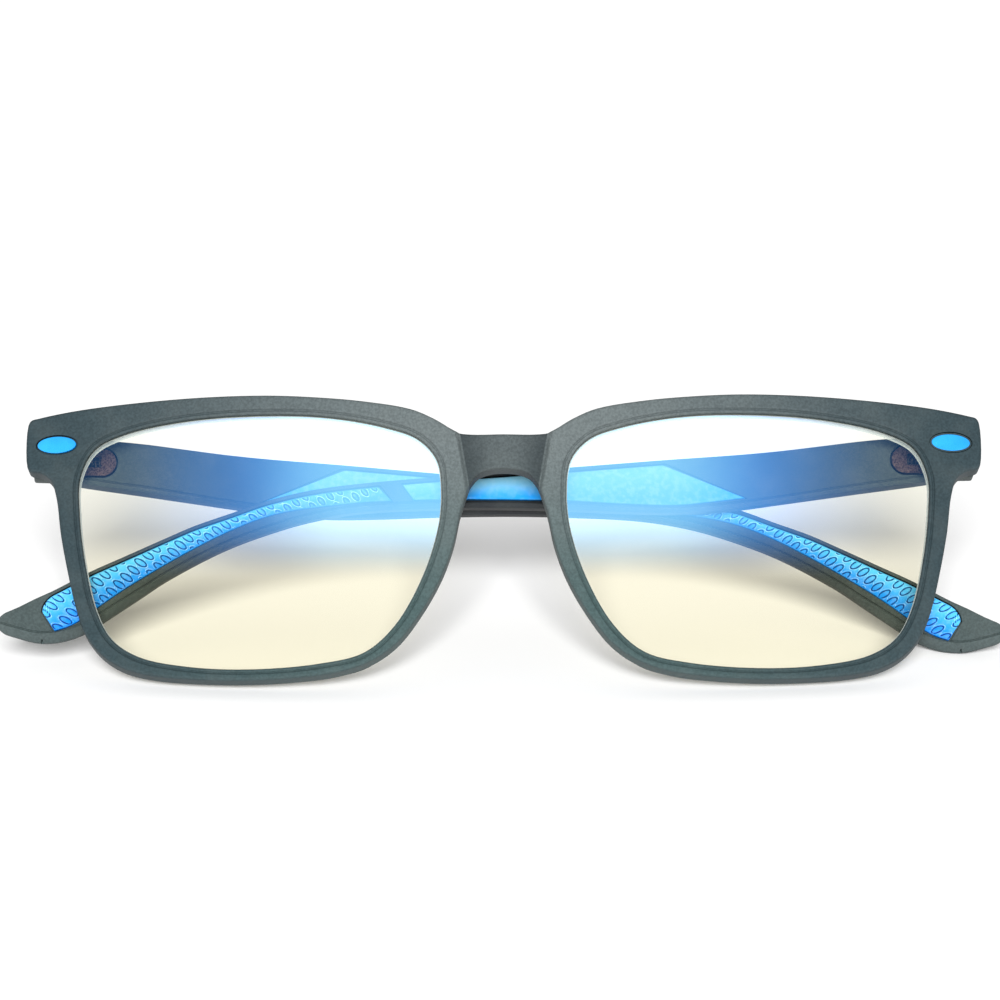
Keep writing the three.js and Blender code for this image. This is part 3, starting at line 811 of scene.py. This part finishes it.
class Tree:
    """A material's node tree with short ways to add and join nodes."""

    def __init__(self, name):
        self.material = bpy.data.materials.new(name)
        self.material.use_nodes = True
        self.tree = self.material.node_tree
        self.tree.nodes.remove(self.tree.nodes["Principled BSDF"])
        self.end = self.tree.nodes["Material Output"]

    def add(self, kind, output=0, inputs=None, **settings):
        node = self.tree.nodes.new("ShaderNode" + kind)
        for key, value in settings.items():
            setattr(node, key, value)
        for key, value in (inputs or {}).items():
            if isinstance(value, bpy.types.NodeSocket):
                self.tree.links.new(value, node.inputs[key])
            else:
                node.inputs[key].default_value = value
        return node.outputs[output]

    def math(self, operation, a, b=0.0, limit=False):
        return self.add("Math", inputs={0: a, 1: b}, operation=operation, use_clamp=limit)

    def position(self):
        return self.add("TexCoord", output="Object")

    def noise(self, scale, detail=3, roughness=0.5):
        return self.add("TexNoise", output="Fac", inputs={
            "Vector": self.position(), "Scale": scale, "Detail": detail, "Roughness": roughness,
        })

    def mix(self, factor, a, b, blend="MIX"):
        node = self.tree.nodes.new("ShaderNodeMix")
        node.data_type = "RGBA"
        node.blend_type = blend
        for key, value in (("Factor_Float", factor), ("A_Color", a), ("B_Color", b)):
            socket = next(s for s in node.inputs if s.identifier == key)
            if isinstance(value, bpy.types.NodeSocket):
                self.tree.links.new(value, socket)
            else:
                socket.default_value = value
        return next(s for s in node.outputs if s.identifier == "Result_Color")

    def spread(self, value, low, high, to_low=0.0, to_high=1.0):
        return self.add("MapRange", inputs={
            "Value": value, "From Min": low, "From Max": high, "To Min": to_low, "To Max": to_high,
        }, interpolation_type="SMOOTHSTEP")

    def axis(self, direction):
        """Distance in millimetres along one of the front's axes, measured from its origin."""
        rel = self.add("VectorMath", inputs={0: self.position(), 1: ORIGIN}, operation="SUBTRACT")
        return self.math("MULTIPLY", self.add("VectorMath", output="Value", inputs={
            0: rel, 1: direction}, operation="DOT_PRODUCT"), 1000)

    def attribute(self, name):
        return self.add("Attribute", output="Fac", attribute_name=name)

    def bump(self, height, strength, distance):
        return self.add("Bump", inputs={
            "Height": height, "Strength": strength, "Distance": distance * MM})

    def finish(self, shader):
        self.tree.links.new(shader, self.end.inputs["Surface"])
        return self.material


def moulded(t, tone):
    """Finishes a material as matt moulded plastic: fine grain, faint clouding and a soft sheen."""
    grain = t.noise(3200, 2, 0.6)
    cloud = t.noise(240, 3, 0.5)
    grained = t.mix(t.spread(grain, 0.3, 0.7, 0, 0.3), tone, (0, 0, 0, 1))
    colour = t.mix(t.spread(cloud, 0.4, 0.75, 0, 0.07), grained, (0.16, 0.18, 0.17, 1))
    normal = t.bump(grain, 0.4, 0.03)
    matt = t.add("BsdfDiffuse", inputs={"Color": colour, "Normal": normal})
    sheen = t.add("BsdfGlossy", inputs={
        "Color": (1, 1, 1, 1), "Roughness": t.spread(cloud, 0.3, 0.7, 0.34, 0.44),
        "Normal": normal})
    edge = t.add("LayerWeight", output="Facing", inputs={"Blend": 0.3})
    share = t.spread(edge, 0.2, 1.0, 0.028, 0.12)
    return t.finish(t.add("MixShader", inputs={0: share, 1: matt, 2: sheen}))


def front_plastic():
    """Grey green plastic, palest along the top towards the bridge, with painted shade darkening the
    bridge's face, most towards its creases.
    """
    t = Tree("front_plastic")
    across = t.math("ABSOLUTE", t.axis(ACROSS))
    height = t.axis(UP)
    near_nose = t.mix(t.spread(height, -11, 14), rgb(64, 82, 82), rgb(93, 101, 102))
    tone = t.mix(t.spread(across, 6, 64), near_nose, rgb(45, 59, 64))
    # Painted shade: the bridge's face is darkened in its colour, most beside the creases, where the
    # shallow recess would fall into shade.
    slant = t.math("MULTIPLY", t.math("SUBTRACT", BRIDGE_TOP, height), BRIDGE_TAPER)
    past_crease = t.math("ADD", t.math("SUBTRACT", across, BRIDGE_HALF), slant)
    painted_crease_shade = t.math("MULTIPLY", t.spread(past_crease, 0.1, -0.15),
                    t.spread(past_crease, -4.5, -0.1, 0.38, 0.72))
    return moulded(t, t.mix(painted_crease_shade, tone, (0.008, 0.014, 0.018, 1)))


def temple_plastic():
    """Dark grey plastic with painted light and shade: darkest in the middle, where shade from the
    front is painted in, and paler and a little greener towards the tip, where the key's light is
    painted in.
    """
    t = Tree("temple_plastic")
    across = t.math("ABSOLUTE", t.axis(ACROSS))
    # Painted shade in the middle of the temple, painted light towards its tip.
    return moulded(t, t.mix(t.spread(across, 28, 64), rgb(36, 40, 44), rgb(68, 79, 79)))


def blue_strip(name, top, bottom, rough, ring):
    """Blue plastic, paler along its upper edge, with painted shade darkening the ovals' grooves and
    painted highlights paling the ridges beside them.

    The lens coating turns blue light back, so a strip seen through it by the nose is dimmer.
    """
    t = Tree(name)
    down = t.attribute("down")
    fine = t.noise(1500, 2)
    cloud = t.noise(170, 3)
    colour = t.mix(t.spread(down, 0.0, 0.95), top, bottom)
    colour = t.mix(t.spread(cloud, 0.35, 0.75, 0, 0.05), colour, (0.02, 0.25, 0.65, 1))
    across = t.math("ABSOLUTE", t.axis(ACROSS))
    passed = t.add("LightPath", output="Transparent Depth")
    behind = t.math("MULTIPLY", t.math("MINIMUM", passed, 1), t.spread(across, 44, 20, 0, 0.78))
    colour = t.mix(behind, colour, (0.02, 0.05, 0.12, 1))
    colour = t.mix(t.spread(fine, 0.4, 0.7, 0, 0.04), colour, (1, 1, 1, 1))
    # Painted highlight: the raised ridges beside the ovals' grooves are paled.
    colour = t.mix(t.spread(t.attribute("level"), 0.025, 0.06, 0, 0.45), colour, (0.6, 0.9, 1, 1))
    # Painted shade: the ovals' grooves are darkened towards the ring colour.
    colour = t.mix(t.spread(t.attribute("level"), -0.02, -0.08), colour, ring)
    shader = t.add("BsdfPrincipled", inputs={
        "Base Color": colour,
        "Roughness": t.spread(fine, 0.3, 0.7, rough - 0.04, rough + 0.05),
        "Normal": t.bump(fine, 0.12, 0.02),
    })
    return t.finish(shader)


def inlay_blue():
    """Bright blue enamel, mottled between two close blues."""
    t = Tree("inlay_blue")
    cloud = t.noise(420, 3)
    fine = t.noise(2500, 2)
    colour = t.mix(t.spread(cloud, 0.3, 0.7), rgb(22, 135, 212), rgb(32, 148, 220))
    shader = t.add("BsdfPrincipled", inputs={
        "Base Color": colour,
        "Roughness": t.spread(fine, 0.3, 0.7, 0.22, 0.34),
        "Normal": t.bump(fine, 0.15, 0.02),
        "Coat Weight": 0.5,
    })
    return t.finish(shader)


def metal(name, light, dark, rough, scale):
    """Metal with a broken, slightly sparkling surface."""
    t = Tree(name)
    fleck = t.noise(scale, 4, 0.7)
    colour = t.mix(t.spread(fleck, 0.35, 0.65), dark, light)
    shader = t.add("BsdfPrincipled", inputs={
        "Base Color": colour,
        "Metallic": 0.85,
        "Roughness": t.spread(fleck, 0.3, 0.7, rough + 0.1, rough - 0.1),
        "Normal": t.bump(fleck, 0.4, 0.05),
    })
    return t.finish(shader)


def coated_lens():
    """A clear, faintly warm lens with a ground edge, and the coating's blue reflection by the nose
    painted on as emitted light.
    """
    t = Tree("coated_lens")
    across = t.math("ABSOLUTE", t.axis(ACROSS))
    height = t.axis(UP)
    smear = t.noise(45, 2)
    paths = t.tree.nodes.new("ShaderNodeLightPath").outputs
    # Painted reflection: the coating's blue reflection, strongest by the nose and in the upper part,
    # seen only by the camera.
    towards_nose = t.spread(across, 54, 20, 0.1, 1)
    upper = t.spread(height, -5.6, 4.4)
    front_side = t.math("SUBTRACT", 1, t.add("NewGeometry", output="Backfacing"))
    painted_blue_reflection = t.math("MULTIPLY", t.math("MULTIPLY", towards_nose, upper), front_side)
    facing_out = t.add("VectorMath", output="Value", inputs={
        0: t.add("NewGeometry", output="True Normal"), 1: -BACK}, operation="DOT_PRODUCT")
    painted_blue_reflection = t.math("MULTIPLY", painted_blue_reflection, t.spread(facing_out, 0.85, 0.95))
    painted_blue_reflection = t.math("MULTIPLY", painted_blue_reflection, paths["Is Camera Ray"])
    painted_blue_reflection = t.math("MULTIPLY", painted_blue_reflection, t.spread(smear, 0.3, 0.7, 0.92, 1.08))
    hue = t.mix(t.spread(across, 36, 20), (0.07, 0.33, 0.88, 1), (0.2, 0.58, 0.95, 1))
    tint = t.mix(paths["Is Shadow Ray"], (0.99, 0.972, 0.885, 1), (0.99, 0.985, 0.96, 1))
    clear = t.add("BsdfTransparent", inputs={"Color": tint})
    gloss = t.add("BsdfGlossy", inputs={
        "Color": (1, 1, 1, 1), "Roughness": t.spread(smear, 0.3, 0.7, 0.03, 0.06)})
    facing = t.add("LayerWeight", output="Fresnel", inputs={"Blend": 0.12})
    share = t.math("MULTIPLY", facing, t.math("SUBTRACT", 1, paths["Is Shadow Ray"]))
    share = t.math("MULTIPLY", share, front_side)
    glass = t.add("MixShader", inputs={0: share, 1: clear, 2: gloss})
    frosted = t.add("BsdfDiffuse", inputs={"Color": (0.5, 0.55, 0.53, 1)})
    ground_edge = t.spread(t.math("ABSOLUTE", facing_out), 0.85, 0.7, 0, 0.8)
    glass = t.add("MixShader", inputs={0: ground_edge, 1: glass, 2: frosted})
    # The painted reflection is added as emitted light.
    light = t.add("Emission", inputs={"Color": hue, "Strength": painted_blue_reflection})
    return t.finish(t.add("AddShader", inputs={0: glass, 1: light}))


# ---------------------------------------------------------------- the object

front_finish = front_plastic()
temple_finish = temple_plastic()
# The last colour of each strip is the painted shade in the ovals' grooves.
panel_blue = blue_strip("panel_blue", rgb(132, 200, 228), rgb(22, 136, 214), 0.36, rgb(30, 70, 130))
grip_blue = blue_strip("grip_blue", rgb(72, 172, 225), rgb(14, 122, 212), 0.46, rgb(6, 48, 108))
button_blue = inlay_blue()
lens_clear = coated_lens()
housing_metal = metal("housing_metal", rgb(160, 135, 130), rgb(80, 60, 64), 0.4, 4200)
leaf_metal = metal("leaf_metal", rgb(165, 160, 160), rgb(90, 85, 90), 0.35, 900)
screw_metal = metal("screw_metal", rgb(190, 188, 185), rgb(120, 118, 118), 0.28, 700)
slider_metal = metal("slider_metal", rgb(100, 98, 105), rgb(45, 44, 50), 0.4, 900)
spring_metal = metal("spring_metal", rgb(180, 178, 176), rgb(95, 92, 95), 0.3, 1200)

show("front_moulding", front_mesh(), front_place(), "front", "front_frame",
     front_finish)
meshes = {
    "lens": lens_mesh(),
    "inlay": inlay_mesh(),
    "temple": temple_mesh(),
    "panel": strip_mesh(PANEL, 0.5, smooth_relief),
    "grip": strip_mesh(GRIP, 0.1, oval_relief),
}
for name, side in SIDES.items():
    arm = f"{name}_arm"
    show(f"{name}_lens_disc", meshes["lens"].copy(), front_place(side), "front", f"{name}_lens",
         lens_clear)
    show(f"{name}_inlay_button", meshes["inlay"].copy(), front_place(side), "front",
         f"{name}_front_inlay", button_blue)
    show(f"{name}_temple_shell", meshes["temple"].copy(), arm_place(name), arm, f"{name}_temple",
         temple_finish)
    show(f"{name}_panel_strip", meshes["panel"].copy(), arm_place(name), arm,
         f"{name}_temple_panel", panel_blue)
    show(f"{name}_grip_pad", meshes["grip"].copy(), arm_place(name), arm, f"{name}_temple_grip",
         grip_blue, sharp=60)

HINGE_FINISHES = {
    "hinge_leaf": leaf_metal,
    "hinge_screw": screw_metal,
    "hinge_slider": slider_metal,
    "spring_cap": spring_metal,
    "hinge_spring": spring_metal,
    "spring_housing": housing_metal,
}
for name in SIDES:
    for part, material in HINGE_FINISHES.items():
        node = frame["nodes"][f"{name}_{part}"]
        node.data.materials.clear()
        node.data.materials.append(material)
        if part in ("hinge_leaf", "hinge_slider", "spring_housing", "hinge_screw"):
            bevel = node.modifiers.new("soft_edges", "BEVEL")
            bevel.width = 0.09 * MM
            bevel.segments = 2
            bevel.limit_method = "ANGLE"
            bevel.angle_limit = math.radians(40)

# ---------------------------------------------------------------- floor, light and camera

scene = bpy.context.scene
scene.view_settings.view_transform = "Standard"


def floor_material():
    t = Tree("floor_white")
    cloud = t.noise(3, 2)
    colour = t.mix(t.spread(cloud, 0.3, 0.7), (0.93, 0.93, 0.93, 1), (0.95, 0.95, 0.95, 1))
    return t.finish(t.add("BsdfDiffuse", inputs={"Color": colour}))


def floor_follows(floor, pieces):
    """Keeps the floor under the lowest point of the pieces, at rest and in every pose."""
    tree = bpy.data.node_groups.new("floor_height", "GeometryNodeTree")
    tree.interface.new_socket("Geometry", in_out="INPUT", socket_type="NodeSocketGeometry")
    tree.interface.new_socket("Geometry", in_out="OUTPUT", socket_type="NodeSocketGeometry")
    start = tree.nodes.new("NodeGroupInput")
    end = tree.nodes.new("NodeGroupOutput")
    lowest = None
    for piece in pieces:
        info = tree.nodes.new("GeometryNodeObjectInfo")
        info.transform_space = "RELATIVE"
        info.inputs["Object"].default_value = piece
        box = tree.nodes.new("GeometryNodeBoundBox")
        tree.links.new(info.outputs["Geometry"], box.inputs["Geometry"])
        split = tree.nodes.new("ShaderNodeSeparateXYZ")
        tree.links.new(box.outputs["Min"], split.inputs[0])
        height = split.outputs["Z"]
        if lowest is not None:
            smaller = tree.nodes.new("ShaderNodeMath")
            smaller.operation = "MINIMUM"
            tree.links.new(lowest, smaller.inputs[0])
            tree.links.new(height, smaller.inputs[1])
            height = smaller.outputs[0]
        lowest = height
    join = tree.nodes.new("ShaderNodeCombineXYZ")
    tree.links.new(lowest, join.inputs["Z"])
    move = tree.nodes.new("GeometryNodeSetPosition")
    tree.links.new(start.outputs[0], move.inputs["Geometry"])
    tree.links.new(join.outputs[0], move.inputs["Offset"])
    tree.links.new(move.outputs["Geometry"], end.inputs[0])
    floor.modifiers.new("height", "NODES").node_group = tree


def make_floor():
    mesh = bpy.data.meshes.new("floor")
    reach = 3
    corners = [(-reach, -reach, 0), (reach, -reach, 0), (reach, reach, 0), (-reach, reach, 0)]
    mesh.from_pydata(corners, [], [(0, 1, 2, 3)])
    mesh.materials.append(floor_material())
    floor = temporary(mesh)
    names = ["front_moulding", "left_temple_shell", "right_temple_shell"]
    floor_follows(floor, [bpy.data.objects[name] for name in names])


SENSOR = 36
CAMERA_DISTANCE = 0.6
CAMERA_ELEVATION = 18
CAMERA_ROLL = 0.15
PICTURE_WIDTH = 0.13055
AIM = ORIGIN + MM * (-0.515 * ACROSS + 5.1 * UP)


def towards_viewer(elevation):
    return Vector((0, -math.cos(math.radians(elevation)), math.sin(math.radians(elevation))))


def aimed(made, elevation, distance):
    bpy.context.scene.collection.objects.link(made)
    made.location = AIM + distance * towards_viewer(elevation)
    made.rotation_euler = (AIM - made.location).to_track_quat("-Z", "Y").to_euler()
    return made


def make_camera():
    data = bpy.data.cameras.new("camera")
    data.sensor_width = SENSOR
    data.lens = SENSOR * CAMERA_DISTANCE / PICTURE_WIDTH
    data.clip_start = 0.01
    camera = aimed(bpy.data.objects.new("camera", data), CAMERA_ELEVATION, CAMERA_DISTANCE)
    camera.rotation_euler.rotate_axis("Z", math.radians(-CAMERA_ROLL))
    scene.camera = camera


KEY_ELEVATION = 27
KEY_SPREAD = 19
KEY_STRENGTH = 5.2
SURROUND_STRENGTH = 0.4


def make_key_light():
    """One soft sun low in front, left out of reflections."""
    data = bpy.data.lights.new("key", "SUN")
    data.energy = KEY_STRENGTH
    data.angle = math.radians(KEY_SPREAD)
    sun = aimed(bpy.data.objects.new("key", data), KEY_ELEVATION, CAMERA_DISTANCE)
    sun.visible_glossy = False


def make_surround():
    """An even bright surround."""
    world = bpy.data.worlds.new("world")
    world.use_nodes = True
    background = world.node_tree.nodes["Background"]
    background.inputs["Color"].default_value = (1, 1, 1, 1)
    background.inputs["Strength"].default_value = SURROUND_STRENGTH
    scene.world = world


make_floor()
make_camera()
make_key_light()
make_surround()
